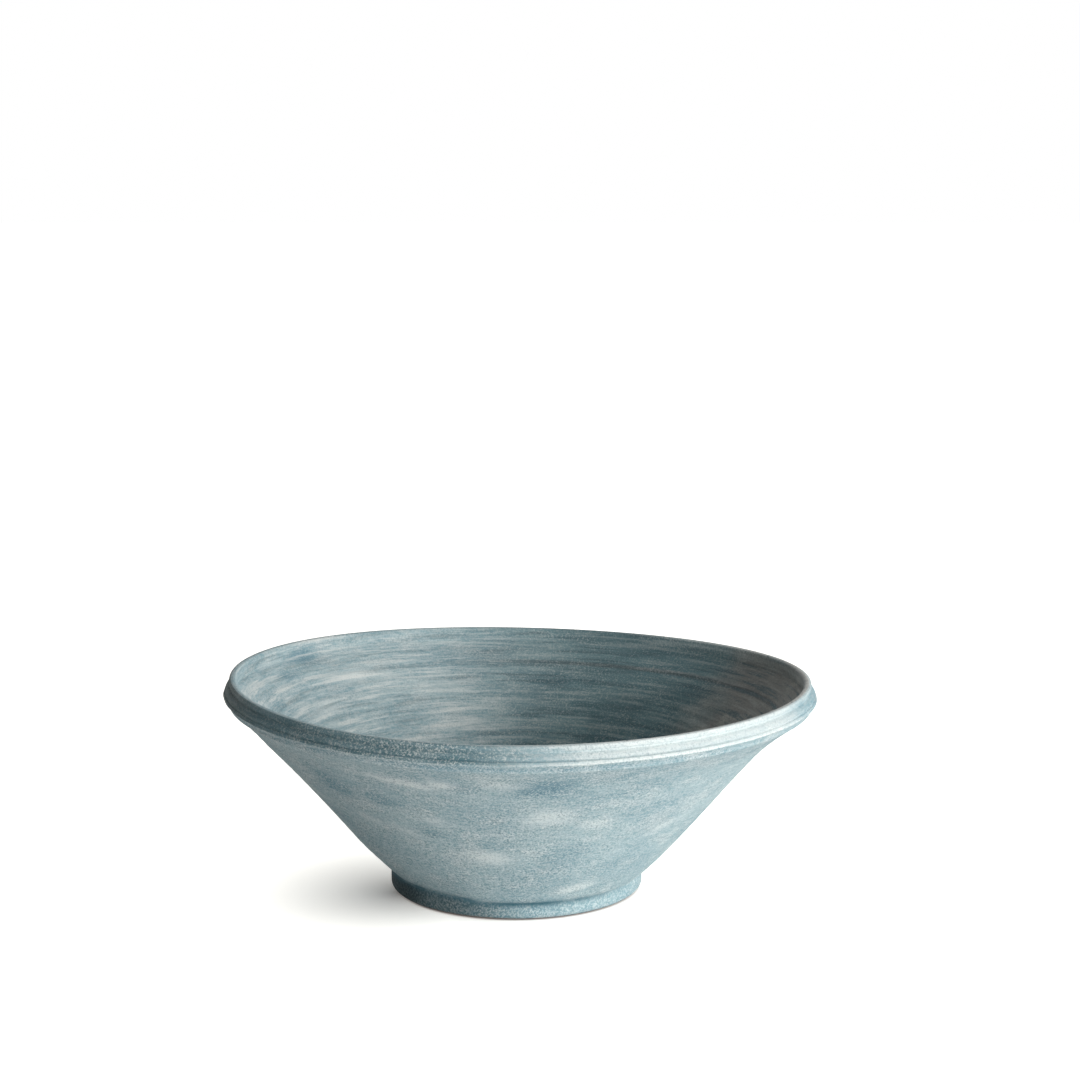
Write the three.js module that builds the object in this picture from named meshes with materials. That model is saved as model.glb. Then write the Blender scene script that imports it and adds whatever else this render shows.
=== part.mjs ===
import * as THREE from 'three';

// A wide, shallow planter bowl of fired clay on a low turned foot, with a rubber stopper in its drain hole
// and four felt pads under the foot. Millimetres, +Z up. The origin is on the ground, on the bowl's axis.

// Overall sizes
const BOWL_DIAMETER = 560; // across the rim band, the widest place
const BOWL_HEIGHT = 202; // ground to the crest of the lip
const WALL = 12; // thickness of the flared wall, square to its surface

// Foot ring
const FOOT_DIAMETER = 240; // across the face of the foot
const FOOT_HEIGHT = 15; // underside of the foot to the crease under the wall
const FOOT_EDGE = 4.5; // radius of the foot's lower outer edge
const FOOT_SWELL = 0.5; // how far the foot's face stands out past the crease
const FOOT_FULLNESS = 0.6; // how far up the face its swell reaches, as a share
const FOOT_RING_WIDTH = 27.5; // flat underside, from the inner edge to the outer face
const HOLLOW_DEPTH = 9; // hollow turned out inside the foot ring
const HOLLOW_DRAFT = 3; // how much narrower the hollow is at its ceiling

// Floor
const FLOOR_THICKNESS = 13;
const FLOOR_FILLET = 26; // run of the curve from the floor into the wall

// Flare of the wall, as the handles of its curve
const WALL_SPREAD_LOW = 1.14; // outward run for each millimetre of rise, at the foot
const WALL_SPREAD_HIGH = 1.54; // the same under the rim band
const WALL_HANDLE_LOW = 36; // rise of the lower handle
const WALL_HANDLE_HIGH = 32.5; // rise of the upper handle

// Rim, measured down from the crest of the lip and in from the band's edge
const LIP_THICKNESS = 7.2;
const LIP_INSET = 5.4; // outer side of the lip
const LIP_ROUND_OUT = 1.8; // radius of the lip's outer corner
const LIP_ROUND_IN = 2.7; // radius of its inner corner
const LIP_SIDE = 4; // foot of the lip's upright side
const COVE_DROP = 6.2; // groove between the lip and the band
const COVE_INSET = 7.6;
const BAND_DROP = 15.5; // the band's edge, the widest place of the bowl
const BAND_EDGE = 1.2; // radius of that edge
const BAND_EDGE_START = -60; // where its round begins under it, in degrees up from level
const BAND_EDGE_END = 45; // where it runs into the sloping face
const BAND_SWELL = 1.1; // how far the sloping face swells past a straight slope
const LINE_START = 0.16; // incised line round the face, as shares of the way up it
const LINE_MIDDLE = 0.25;
const LINE_END = 0.35;
const LINE_DEPTH = 0.9;
const BAND_FOOT_DROP = 23; // where the underside of the band runs into the wall
const BAND_FOOT_INSET = 5;
const BAND_UNDERCUT = 0.6; // how hollow that underside is

// Drain hole and its stopper
const DRAIN_DIAMETER = 26;
const DRAIN_CHAMFER = 1.5;
const PLUG_CLEARANCE = 0.5; // between the stem and the hole, on the radius
const SEAT_GAP = 0.3; // between faces that rest on each other
const PLUG_TAPER = 1.2; // how much slimmer the stem is at its lower end, on the radius
const PLUG_REACH = 2; // how far the stem stops short of the hollow's ceiling
const STEM_CHAMFER = 1;
const FLANGE_DIAMETER = 46;
const FLANGE_THICKNESS = 4;
const FLANGE_MARGIN = 2; // how far the flange's seat in the floor reaches past the flange
const GRIP_NECK_DIAMETER = 10;
const GRIP_DIAMETER = 19;
const GRIP_HEIGHT = 13; // flange to the top of the grip
const GRIP_START = 0.4; // where the neck ends and the grip begins, as a share of that height
const GRIP_UNDER = 0.5; // underside of the grip, the same way
const GRIP_ROUND = 1.2; // how full the grip's edge is, as a share of its radius
const NECK_FILLET = 2;

// Pads
const PAD_DIAMETER = 14;
const PAD_THICKNESS = 1;
const PAD_EDGE = 0.2;
const PAD_MARGIN = 0.5; // from the foot ring's inner edge, so that no pad shows from outside
const GLUE = 0.3; // film of adhesive over each pad

// Facets
const BOWL_FACETS = 80;
const PLUG_FACETS = 32;
const PAD_FACETS = 24;
const ROUND_STEPS = 4;
const LIP_STEPS = 3;
const SHORT_STEPS = 2;
const BAND_STEPS = 4;
const WALL_STEPS = 11;
const INNER_STEPS = 9;
const FILLET_STEPS = 5;
const GRIP_STEPS = 6;

// Places worked out from the sizes above
const rimRadius = BOWL_DIAMETER / 2;
const footRadius = FOOT_DIAMETER / 2;
const footBottom = PAD_THICKNESS + GLUE;
const crease = footBottom + FOOT_HEIGHT;
const hollowCeiling = footBottom + HOLLOW_DEPTH;
const floorTop = hollowCeiling + FLOOR_THICKNESS;
const ringInner = footRadius - FOOT_RING_WIDTH;
const drainRadius = DRAIN_DIAMETER / 2;

const clay = new THREE.MeshStandardMaterial({ color: 0x8fa9b2, roughness: 0.9, metalness: 0 });
const rubber = new THREE.MeshStandardMaterial({ color: 0x2b2c2e, roughness: 0.7, metalness: 0 });
const felt = new THREE.MeshStandardMaterial({ color: 0x4a4540, roughness: 1, metalness: 0 });

function point(radius, height) {
  return new THREE.Vector2(radius, height);
}

// Where the wall ends under the rim band.
const wallTop = point(rimRadius - BAND_FOOT_INSET, BOWL_HEIGHT - BAND_FOOT_DROP);

// Points on a circle's arc, both ends included. Angles are in degrees, from straight outwards, turning up.
function arc(centre, radius, from, to, steps) {
  return Array.from({ length: steps + 1 }, (_, i) => {
    const angle = THREE.MathUtils.degToRad(from + ((to - from) * i) / steps);
    return point(centre.x + radius * Math.cos(angle), centre.y + radius * Math.sin(angle));
  });
}

// Points on a curve, without its first point.
function along(curve, steps) {
  return curve.getPoints(steps).slice(1);
}

// Turns an outline, given as radius and height, about the vertical axis.
function turned(name, outline, facets, material) {
  const geometry = new THREE.LatheGeometry(outline, facets);
  geometry.rotateX(Math.PI / 2);
  const mesh = new THREE.Mesh(geometry, material);
  mesh.name = name;
  return mesh;
}

// The outer line of the wall, from the crease over the foot to the underside of the rim band.
function wallCurve() {
  const low = point(footRadius - FOOT_SWELL, crease);
  const lowHandle = point(low.x + WALL_HANDLE_LOW * WALL_SPREAD_LOW, low.y + WALL_HANDLE_LOW);
  const highHandle = point(wallTop.x - WALL_HANDLE_HIGH * WALL_SPREAD_HIGH, wallTop.y - WALL_HANDLE_HIGH);
  return new THREE.CubicBezierCurve(low, lowHandle, highHandle, wallTop);
}

// The foot, from the inner edge of its underside round its lower edge and up its swelling face.
function footOutline() {
  const edge = point(footRadius - FOOT_EDGE, footBottom + FOOT_EDGE);
  const face = new THREE.QuadraticBezierCurve(
    point(footRadius, edge.y),
    point(footRadius, edge.y + (crease - edge.y) * FOOT_FULLNESS),
    point(footRadius - FOOT_SWELL, crease),
  );
  return [
    point(ringInner, footBottom),
    ...arc(edge, FOOT_EDGE, -90, 0, ROUND_STEPS),
    ...along(face, SHORT_STEPS),
  ];
}

// A curve between two points that swells to its right by the given distance, or hollows if it is negative.
function swelling(from, to, swell) {
  const way = to.clone().sub(from).normalize();
  const middle = from.clone().lerp(to, 0.5);
  const pull = point(middle.x + way.y * swell * 2, middle.y - way.x * swell * 2);
  return new THREE.QuadraticBezierCurve(from, pull, to);
}

// The rim, from the underside of the band up over the lip to its inner side.
function rimOutline() {
  const edgeCentre = point(rimRadius - BAND_EDGE, BOWL_HEIGHT - BAND_DROP);
  const edge = arc(edgeCentre, BAND_EDGE, BAND_EDGE_START, BAND_EDGE_END, ROUND_STEPS);
  const under = swelling(wallTop, edge[0], -BAND_UNDERCUT);
  const cove = point(rimRadius - COVE_INSET, BOWL_HEIGHT - COVE_DROP);
  const face = swelling(edge[edge.length - 1], cove, BAND_SWELL);
  const way = face.getTangent(LINE_MIDDLE);
  const onFace = face.getPoint(LINE_MIDDLE);
  const line = point(onFace.x - way.y * LINE_DEPTH, onFace.y + way.x * LINE_DEPTH);
  const upper = Array.from({ length: BAND_STEPS }, (_, i) => {
    return face.getPoint(LINE_END + ((1 - LINE_END) * i) / BAND_STEPS);
  });
  const lipOuter = rimRadius - LIP_INSET;
  const outCorner = point(lipOuter - LIP_ROUND_OUT, BOWL_HEIGHT - LIP_ROUND_OUT);
  const inCorner = point(lipOuter - LIP_THICKNESS + LIP_ROUND_IN, BOWL_HEIGHT - LIP_ROUND_IN);
  return [
    ...along(under, SHORT_STEPS).slice(0, -1),
    ...edge,
    face.getPoint(LINE_START),
    line,
    ...upper,
    cove,
    point(lipOuter, BOWL_HEIGHT - LIP_SIDE),
    ...arc(outCorner, LIP_ROUND_OUT, 0, 90, LIP_STEPS),
    ...arc(inCorner, LIP_ROUND_IN, 90, 180, LIP_STEPS),
  ];
}

// The inside, from under the lip down the wall and round a fillet on to the floor. It runs parallel to the
// outer line, one wall thickness inside it, until it comes down to the fillet.
function insideOutline(outer) {
  const inner = [];
  for (let i = INNER_STEPS; i >= 0; i -= 1) {
    const on = outer.getPoint(i / INNER_STEPS);
    const way = outer.getTangent(i / INNER_STEPS);
    inner.push(point(on.x - way.y * WALL, on.y + way.x * WALL));
  }
  const kept = inner.filter((p) => p.y > floorTop + FLOOR_FILLET / 2);
  const last = kept[kept.length - 1];
  const before = kept[kept.length - 2];
  const spread = (before.x - last.x) / (before.y - last.y);
  const corner = point(last.x - (last.y - floorTop) * spread, floorTop);
  const fillet = new THREE.QuadraticBezierCurve(last, corner, point(corner.x - FLOOR_FILLET, floorTop));
  return [...kept, ...along(fillet, FILLET_STEPS)];
}

// The flange's seat in the floor, the drain hole, and the hollow under the foot, back to the inner edge of
// the underside.
function undersideOutline() {
  return [
    point(FLANGE_DIAMETER / 2 + FLANGE_MARGIN, floorTop),
    point(drainRadius + DRAIN_CHAMFER, floorTop),
    point(drainRadius, floorTop - DRAIN_CHAMFER),
    point(drainRadius, hollowCeiling),
    point(ringInner - HOLLOW_DRAFT, hollowCeiling),
    point(ringInner, footBottom),
  ];
}

function makeBowl() {
  const wall = wallCurve();
  const outline = [
    ...footOutline(),
    ...along(wall, WALL_STEPS),
    ...rimOutline(),
    ...insideOutline(wall),
    ...undersideOutline(),
  ];
  return turned('bowl', outline, BOWL_FACETS, clay);
}

// A stopper: tapered stem, wide thin flange with a rounded edge, and a mushroom grip to pull it by.
function makePlug() {
  const stemRadius = drainRadius - PLUG_CLEARANCE;
  const stemBottom = hollowCeiling + PLUG_REACH;
  const flangeBottom = floorTop + SEAT_GAP;
  const flangeTop = flangeBottom + FLANGE_THICKNESS;
  const flangeEdge = FLANGE_THICKNESS / 2;
  const flangeRound = point(FLANGE_DIAMETER / 2 - flangeEdge, flangeBottom + flangeEdge);
  const grip = point(0, flangeTop + GRIP_HEIGHT);
  const neck = GRIP_NECK_DIAMETER / 2;
  const gripRadius = GRIP_DIAMETER / 2;
  const gripCurve = new THREE.CubicBezierCurve(
    point(neck, flangeTop + GRIP_HEIGHT * GRIP_START),
    point(gripRadius * GRIP_ROUND, flangeTop + GRIP_HEIGHT * GRIP_UNDER),
    point(gripRadius, grip.y),
    grip,
  );
  const outline = [
    point(0, stemBottom),
    point(stemRadius - PLUG_TAPER - STEM_CHAMFER, stemBottom),
    point(stemRadius - PLUG_TAPER, stemBottom + STEM_CHAMFER),
    point(stemRadius, flangeBottom),
    ...arc(flangeRound, flangeEdge, -90, 90, ROUND_STEPS),
    point(neck + NECK_FILLET, flangeTop),
    point(neck, flangeTop + NECK_FILLET),
    ...gripCurve.getPoints(GRIP_STEPS),
  ];
  return turned('drain_plug', outline, PLUG_FACETS, rubber);
}

// A round felt pad with slightly softened edges, under the foot ring's flat, close to its inner edge.
function makePad(name, quarter) {
  const radius = PAD_DIAMETER / 2;
  const outline = [
    point(0, 0),
    point(radius - PAD_EDGE, 0),
    point(radius, PAD_EDGE),
    point(radius, PAD_THICKNESS - PAD_EDGE),
    point(radius - PAD_EDGE, PAD_THICKNESS),
    point(0, PAD_THICKNESS),
  ];
  const pad = turned(name, outline, PAD_FACETS, felt);
  const reach = ringInner + PAD_MARGIN + radius;
  const angle = (quarter * Math.PI) / 2;
  pad.position.set(reach * Math.cos(angle), reach * Math.sin(angle), 0);
  return pad;
}

const planter = new THREE.Group();
planter.add(makeBowl());
planter.add(makePlug());
['foot_pad_right', 'foot_pad_back', 'foot_pad_left', 'foot_pad_front'].forEach((name, quarter) => {
  planter.add(makePad(name, quarter));
});

export default planter;
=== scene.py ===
"""The looks of a thrown clay bowl planter with a rubbed blue-grey wash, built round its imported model.

Every shape is a surface worked out on a grid: an outline of radius and height is turned about the bowl's
axis, then the potter's unevenness is added to the whole array. Lengths are in metres. Directions round the
bowl are in degrees, from the right at 0 by the back at 90 and the left at 180 to the front at 270.
"""

import math

import bpy
import numpy as np
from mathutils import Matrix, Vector


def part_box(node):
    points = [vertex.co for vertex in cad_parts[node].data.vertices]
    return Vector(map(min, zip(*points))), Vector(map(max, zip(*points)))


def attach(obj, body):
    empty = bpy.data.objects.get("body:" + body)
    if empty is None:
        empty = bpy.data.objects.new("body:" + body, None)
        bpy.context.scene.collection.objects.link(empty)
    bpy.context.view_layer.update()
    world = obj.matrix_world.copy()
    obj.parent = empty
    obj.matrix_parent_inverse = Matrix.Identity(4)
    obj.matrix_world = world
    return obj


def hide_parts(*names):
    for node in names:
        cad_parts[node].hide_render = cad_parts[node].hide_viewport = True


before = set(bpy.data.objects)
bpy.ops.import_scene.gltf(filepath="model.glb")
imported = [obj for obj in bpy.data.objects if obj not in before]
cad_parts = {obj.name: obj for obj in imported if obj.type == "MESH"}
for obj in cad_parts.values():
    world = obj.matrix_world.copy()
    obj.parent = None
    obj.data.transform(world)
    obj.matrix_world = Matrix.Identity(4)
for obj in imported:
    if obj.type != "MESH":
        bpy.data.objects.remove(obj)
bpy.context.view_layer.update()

MM = 0.001

# Camera and picture
PICTURE = 1080  # pixels along each side of the photograph
FOCAL_PIXELS = 2300
CAMERA_BACK = 2.139  # from the bowl's axis to the lens
CAMERA_HEIGHT = 0.662
CAMERA_RIGHT = 0.0226
CAMERA_PITCH = 8.74  # degrees below level
SENSOR = 36.0  # in millimetres, the camera's own unit
CLIP = (0.05, 100)

# Light: the world's, and for each lamp its turn from the right towards the camera and its rise, in degrees,
# its distance, its sides, how bright it makes a white card at the bowl, and its tint
WORLD = 0.125
LAMP_AIM = 0.12  # height of the point that the lamps face
LAMPS = {
    "key": (22, 26, 2.6, (1.5, 1.2), 0.49, (1.0, 0.945, 0.9)),
    "low_front": (56, 8, 2.6, (1.8, 0.8), 0.7, (1, 1, 1)),
    "above": (0, 80, 2.6, (2.0, 2.0), 0.12, (1, 1, 1)),
    "behind": (280, 12, 2.8, (2.0, 1.2), 0.28, (1, 1, 1)),
}

# The floor, and its glow to the camera, held low in a pool at the bowl's shadow and round the foot, which
# paints the shadow's shape and depth there over the lamps' own shadow
FLOOR_HALF = 40.0
POOL_CENTRE = (-0.113, -0.036, 0)
POOL_RADIUS = 0.155
POOL_GLOW = 0.13  # share of the glow at the pool's centre, whole at its radius
CONTACT_UNDER = 7 * MM  # how far inside the foot's side the glow ends
CONTACT_OUT = 32 * MM  # how far beyond it the glow is whole
CONTACT_SHARES = (0.6, 0.4)  # shares of the glow gained up to the foot's side and then beyond it

# Places read from the frame
BOWL_LOW, BOWL_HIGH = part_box("bowl")
PLUG_LOW, PLUG_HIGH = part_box("drain_plug")
RIM = (BOWL_HIGH.x - BOWL_LOW.x) / 2
TOP = BOWL_HIGH.z
UNDER = BOWL_LOW.z
PAD_NODES = ["foot_pad_right", "foot_pad_back", "foot_pad_left", "foot_pad_front"]

# The bowl's outline
WALL = 12 * MM
WALL_LEAVES = (41 * MM, 36 * MM)  # control point of the wall's curve, out and up from its lower end
WALL_ARRIVES = (50 * MM, 32.5 * MM)  # the other one, in and down from its upper end
FOOT = 120 * MM
FOOT_SWELL = 0.5 * MM
FOOT_EDGE = 4.5 * MM
CREASE = UNDER + 15 * MM
RING_INNER = FOOT - 27.5 * MM
RING_ROUND = 1.5 * MM
HOLLOW = UNDER + 9 * MM
HOLLOW_DRAFT = 3 * MM
FLOOR = HOLLOW + 13 * MM
DRAIN = 13 * MM
DRAIN_CHAMFER = 1.5 * MM
DRAIN_BREAK = 1 * MM  # broken corner of the hole's lower end
FILLET = 26 * MM
BAND_FOOT = (RIM - 5 * MM, TOP - 23 * MM)  # where the wall ends under the rim band
BAND_DROP = 15.5 * MM  # the band's edge, down from the lip's crest
BAND_EDGE = 1.2 * MM
BAND_HOLLOW = -0.6 * MM
FACE_SWELL = 1.1 * MM
FACE_STEPS = 100  # along the band's sloping face
LINE_SHARES = (0.16, 0.25, 0.35)  # incised line, as shares of the way up the band's sloping face
LINE_DEPTH = 0.9 * MM
LINE_HOLLOW = -0.12 * MM
COVE = (RIM - 5.9 * MM, TOP - 6.2 * MM)
LIP_OUTER = RIM - 5.4 * MM
LIP_THICKNESS = 7.2 * MM
LIP_SIDE = TOP - 4 * MM  # where the lip's outer side starts
LIP_ROUND = 1.8 * MM
LIP_INNER_ROUND = 2.7 * MM

# Points round the bowl; the sections of its outline say how many there are along it
AROUND = 360

# The plug
PLUG_AROUND = 128
FLANGE = FLOOR + 0.3 * MM
FLANGE_TOP = FLANGE + 4 * MM
FLANGE_ROUND = 2 * MM
FLANGE_STEP = 0.5 * MM  # how far the flange is sunk inside its moulded ring
STEM = DRAIN - 0.9 * MM  # radius at its top
STEM_TAPER = 1.2 * MM
STEM_ROUND = 1 * MM
RIB_SHARES = (0.35, 0.6)  # sealing ribs, as shares of the way up the stem
RIB_WIDTH = 0.06  # another such share
RIB_HEIGHT = 0.35 * MM
NECK = 5 * MM
GRIP = 9.5 * MM
SEAM_HEIGHT = 0.18 * MM
SEAM_WIDTH = 0.03  # as a sine of the angle

# The felt pads
PAD_AROUND = 72
PAD_ROUND = 0.3 * MM
NAP = 0.06 * MM

# The hand of the potter
LEAN_RIGHT = 0.01145  # radians that the body leans to the right over its foot
LEAN_BACK = 0.0081
LEAN_HEIGHTS = (CREASE - 4 * MM, CREASE + 26 * MM)  # the lean grows from nothing to all of it between these
# Sideways shift of the body in mm, between heights in mm. Each is added smoothly to the ones below it.
SHIFTS_RIGHT = [(20, 70, 0.6), (70, 145, -1.1), (145, 180, 4.6), (180, 202, 0.1)]
SHIFT_BACK = 0.9 * MM
RIM_RISE = 3.1 * MM  # left and right of the rim stand higher than front and back
RIM_TWIST = -1.6 * MM
RISE_HEIGHTS = (CREASE + 30 * MM, TOP)  # that grows from nothing to all of it between these
RISE_RADII = (0.15, RIM)
CREASE_RISE = 3.6 * MM  # how much higher the crease over the foot stands on its left side
CREASE_FADE = 40 * MM  # how far up the wall that dies away
RING_DEPTH = 0.35 * MM  # throwing rings
RING_PITCH = 0.0125
RING_WANDER = 1.6  # radians that they drift out of step
RINGS_OUTSIDE = 0.35  # share of their depth that is left on the outside
SWELL_DEPTH = 0.25 * MM
NICK_DEPTH = 0.3 * MM  # unevenness of the band's edge
NICK_WIDTH = 2.5 * MM
SEED = 11

# Sides of the bowl where something changes: the direction that each one faces, the cosines of the angle away
# from it at which the change begins and is complete, and its strength
SIDES = {
    "nicked_edge": (235, -0.2, 0.7, 1.0),
    "high_crease": (205, 0.57, 0.9, 1.0),
    "clear_foot": (325, 0.2, 0.8, 0.4),
    # painted shade on the foot's left, the side away from the light
    "shaded_foot": (190, 0.0, 0.64, 0.65),
    "darkest_foot": (195, 0.82, 0.96, 0.27),
    "washed_edge": (325, 0.35, 0.8, 0.85),
    # wash sunk in the crease, made darker on the front and left as painted shade, away from the light
    "crease_wash_and_shade": (232, -0.3, 0.4, 1.0),
    "deep_line": (268, 0.55, 0.95, 1.0),
    # pale bead and lip: partly wear, partly a painted highlight on the lit right
    "bead_wear_and_highlight": (303, 0.74, 0.95, 1.0),
    "lip_wear_and_highlight": (345, 0.0, 0.6, 1.0),
    "stippled": (230, -0.2, 0.8, 0.3),
    "smooth_left": (195, 0.65, 0.95, 0.55),
    "smooth_right": (330, 0.3, 0.9, 0.45),
    # painted shade over the band's dark wash on its left, the side away from the light
    "shaded_band": (212, 0.3, 0.8, 1.0),
    "shaded_band_behind": (212, -0.1, 0.8, 1.0),
    # painted brown-grey shade at the band's far left
    "brown_shaded_band": (180, 0.8, 1.0, 1.0),
    "pale_band": (306, 0.78, 0.98, 1.0),
    "dusky_band": (342, 0.72, 0.97, 0.45),
    # no painted shade under the band here, on the lit right
    "lit_under_band": (335, 0.4, 0.9, 0.85),
    "bare_inside": (2, 0.7, 1.0, 1.0),
    # painted shade on the inside's back right, which faces away from the light
    "painted_shade_inside": (32, 0.05, 0.85, 1.0),
}
STIPPLE_OUTSIDE = 0.55
STIPPLE_INSIDE = 0.38
# Strength of the painted shade in the strip under the band
SHADE_UNDER_BAND = 0.5

# Hand-rubbed patches on the outside: angle in degrees, height in mm, half width in degrees, half height in
# mm, and strength. Away from the front they rise by up to PATCH_SLANT for each degree, most at the sides.
PATCH_SLANT = 1.3 * MM
PALE_PATCHES = [
    (247, 157, 9, 5, 0.9), (255, 159, 4, 6, 0.8), (268, 161, 6, 6, 0.55), (278, 121, 8, 12, 0.7),
    (291, 111, 5, 8, 0.55), (262, 73, 8, 9, 0.9), (229, 102, 5, 6, 0.5), (294, 33, 9, 6, 0.85),
    (240, 95, 6, 7, 0.5), (250, 114, 5, 7, 0.5), (240, 184, 7, 5, 0.3), (315, 95, 8, 9, 0.5),
    (205, 120, 9, 9, 0.5), (262, 100, 7, 6, 0.3), (150, 130, 12, 14, 0.6), (95, 90, 14, 12, 0.7),
    (60, 140, 10, 10, 0.6), (20, 80, 12, 14, 0.6), (340, 120, 9, 12, 0.4), (120, 150, 9, 7, 0.7),
    (175, 80, 10, 10, 0.5),
]
DUSK_PATCHES = [
    (276, 158, 8, 14, 0.95), (260, 157, 5, 8, 0.55), (248, 97, 5, 7, 0.6), (225, 140, 6, 17, 0.75),
    (239, 130, 6, 10, 0.7), (289, 170, 7, 8, 0.5), (212, 90, 7, 10, 0.5), (325, 166, 8, 10, 0.45),
    (300, 150, 8, 10, 0.35), (268, 128, 9, 9, 0.35), (285, 78, 9, 9, 0.3), (300, 55, 8, 9, 0.35),
    (165, 160, 12, 10, 0.6), (110, 120, 12, 14, 0.6), (70, 100, 12, 12, 0.6), (35, 150, 10, 9, 0.6),
    (350, 70, 12, 12, 0.4), (130, 60, 12, 12, 0.5),
]

# The same on the inside, without the slant
INNER_DUSK_PATCHES = [
    (147, 187, 7, 6, 0.9), (157, 176, 6, 5, 0.7), (170, 160, 8, 7, 0.4), (55, 168, 12, 22, 0.9),
    (40, 150, 12, 16, 0.6), (72, 150, 12, 20, 0.6), (250, 120, 14, 14, 0.5), (300, 150, 12, 12, 0.5),
    (220, 160, 12, 12, 0.4),
]
INNER_PALE_PATCHES = [
    (160, 192, 7, 4, 0.6), (135, 165, 10, 8, 0.7), (150, 145, 9, 7, 0.6), (118, 150, 9, 9, 0.4),
    (35, 175, 5, 5, 0.35), (270, 150, 14, 9, 0.5), (200, 140, 12, 10, 0.5), (330, 130, 10, 9, 0.4),
]
INNER_LINE = 0.17  # height of one turned line inside


def rgb(*values):
    """A linear colour from its red, green and blue, with full alpha."""
    return (*values, 1.0)


# Colours of the wash and of the clay under it, and of the shade painted over them
WASH = rgb(0.395, 0.53, 0.56)
DUSK = rgb(0.19, 0.33, 0.39)
CHALK = rgb(0.75, 0.785, 0.765)
DEEP = rgb(0.045, 0.125, 0.16)
CLAY = rgb(0.3, 0.145, 0.085)
# Dark rubbed wash, which also carries the painted shade under the band
DARK_RUB_AND_SHADE = rgb(0.135, 0.265, 0.33)
PALE_RUB = rgb(0.72, 0.79, 0.785)
# Painted shade on the inside's back right, laid thin and thick
INSIDE_SHADE_LIGHT = rgb(0.105, 0.19, 0.205)
INSIDE_SHADE_DEEP = rgb(0.04, 0.1, 0.115)
EARTH_DARK = rgb(0.28, 0.262, 0.24)
EARTH_PALE = rgb(0.47, 0.44, 0.4)
INNER_LINE_DARK = rgb(0.05, 0.055, 0.06)
INNER_STREAK = rgb(0.06, 0.11, 0.13)
# Dark wash of the band's left, deepened as painted shade
BAND_DARK_AND_SHADE = rgb(0.095, 0.18, 0.205)
# Painted brown-grey shade at the band's far left
BAND_BROWN_SHADE = rgb(0.2, 0.18, 0.16)
FOOT_SPECK = rgb(0.11, 0.235, 0.28)
# Painted shade on the foot's left
FOOT_SHADE = rgb(0.004, 0.017, 0.022)

# Colours of the rubber, the felt and the floor
RUBBER = rgb(0.022, 0.022, 0.024)
RUBBER_DUST = rgb(0.12, 0.115, 0.105)
FELT_DARK = rgb(0.05, 0.042, 0.034)
FELT_PALE = rgb(0.13, 0.112, 0.092)
FELT_TUFT = rgb(0.035, 0.03, 0.026)
FLOOR_WHITE = rgb(0.86, 0.86, 0.855)
FLOOR_GLOW = rgb(1, 0.98, 0.93)

# Noises of the wash. Around and Up say how fine each is round the bowl and along its outline, Shift moves it
# to another part of the noise, and its mask rises from Low to High.
WASH_NOISES = {
    "clouds": dict(Around=3.2, Up=22.0, Shift=1.0, Detail=3.0, Rough=0.5, Low=0.38, High=0.64),
    "haze": dict(Around=6.0, Up=50.0, Shift=40.0, Detail=4.0, Rough=0.5, Low=0.5, High=0.72),
    "strokes": dict(Around=9.0, Up=240.0, Shift=9.0, Detail=5.0, Rough=0.62, Low=0.34, High=0.66),
    "dashes": dict(Around=34.0, Up=420.0, Shift=5.0, Detail=3.0, Rough=0.6, Low=0.36, High=0.64),
    "brush": dict(Around=14.0, Up=800.0, Shift=22.0, Detail=3.0, Rough=0.6, Low=0.4, High=0.66),
    "arcs": dict(Around=2.6, Up=190.0, Shift=70.0, Detail=5.0, Rough=0.62, Low=0.36, High=0.66),
}

# The wash all over, from its lowest layer up: the noise it follows, its colour and how thickly it lies
WASH_LAYERS = [
    ("clouds", DUSK, 0.55), ("haze", CHALK, 0.45), ("strokes", DUSK, 0.4), ("dashes", CHALK, 0.34),
    ("brush", DUSK, 0.35),
]


def bezier(*points, count=24):
    """Points on a Bezier curve of any degree: each control point weighted by its Bernstein polynomial."""
    control = np.array(points, float)
    degree = len(control) - 1
    t = np.linspace(0, 1, count)[:, None]
    weights = [math.comb(degree, i) * (1 - t) ** (degree - i) * t**i for i in range(degree + 1)]
    return sum(w * c for w, c in zip(weights, control))


def arc(centre, radius, start, end, count=12):
    """Points on a circle: centre plus radius times the cosine and sine of angles in degrees, upwards."""
    angle = np.radians(np.linspace(start, end, count))
    return np.stack([centre[0] + radius * np.cos(angle), centre[1] + radius * np.sin(angle)], 1)


def swelling(start, end, swell, count=24):
    """A curve between two points that swells to its right by a distance, or hollows if it is negative.

    It is a quadratic Bezier curve whose middle control point lies twice the swell off the straight line.
    """
    start, end = np.array(start), np.array(end)
    way = (end - start) / np.hypot(*(end - start))
    return bezier(start, (start + end) / 2 + 2 * swell * np.array([way[1], -way[0]]), end, count=count)


def parallel(curve, distance):
    """The curve moved square to itself, to its left."""
    way = np.gradient(curve, axis=0)
    way /= np.hypot(*way.T)[:, None]
    return curve + np.stack([-way[:, 1], way[:, 0]], 1) * distance


def lengths(outline):
    """Distance along an outline to each of its points."""
    return np.concatenate([[0], np.cumsum(np.hypot(*np.diff(outline, axis=0).T))])


def even(outline, count):
    """The outline again, with that many points at even steps of its length."""
    at = lengths(outline)
    wanted = np.linspace(0, at[-1], count)
    return np.stack([np.interp(wanted, at, outline[:, 0]), np.interp(wanted, at, outline[:, 1])], 1)


def join(sections):
    """One closed outline from sections, each set out evenly with its own count, without doubled ends."""
    return np.concatenate([even(points, count + 1)[:-1] for points, count in sections])


def square_to(outline):
    """Outward directions along a closed outline, square to the line between each point's two neighbours."""
    way = np.roll(outline, -1, 0) - np.roll(outline, 1, 0)
    way /= np.hypot(*way.T)[:, None] + 1e-12
    return np.stack([way[:, 1], -way[:, 0]], 1)


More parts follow.
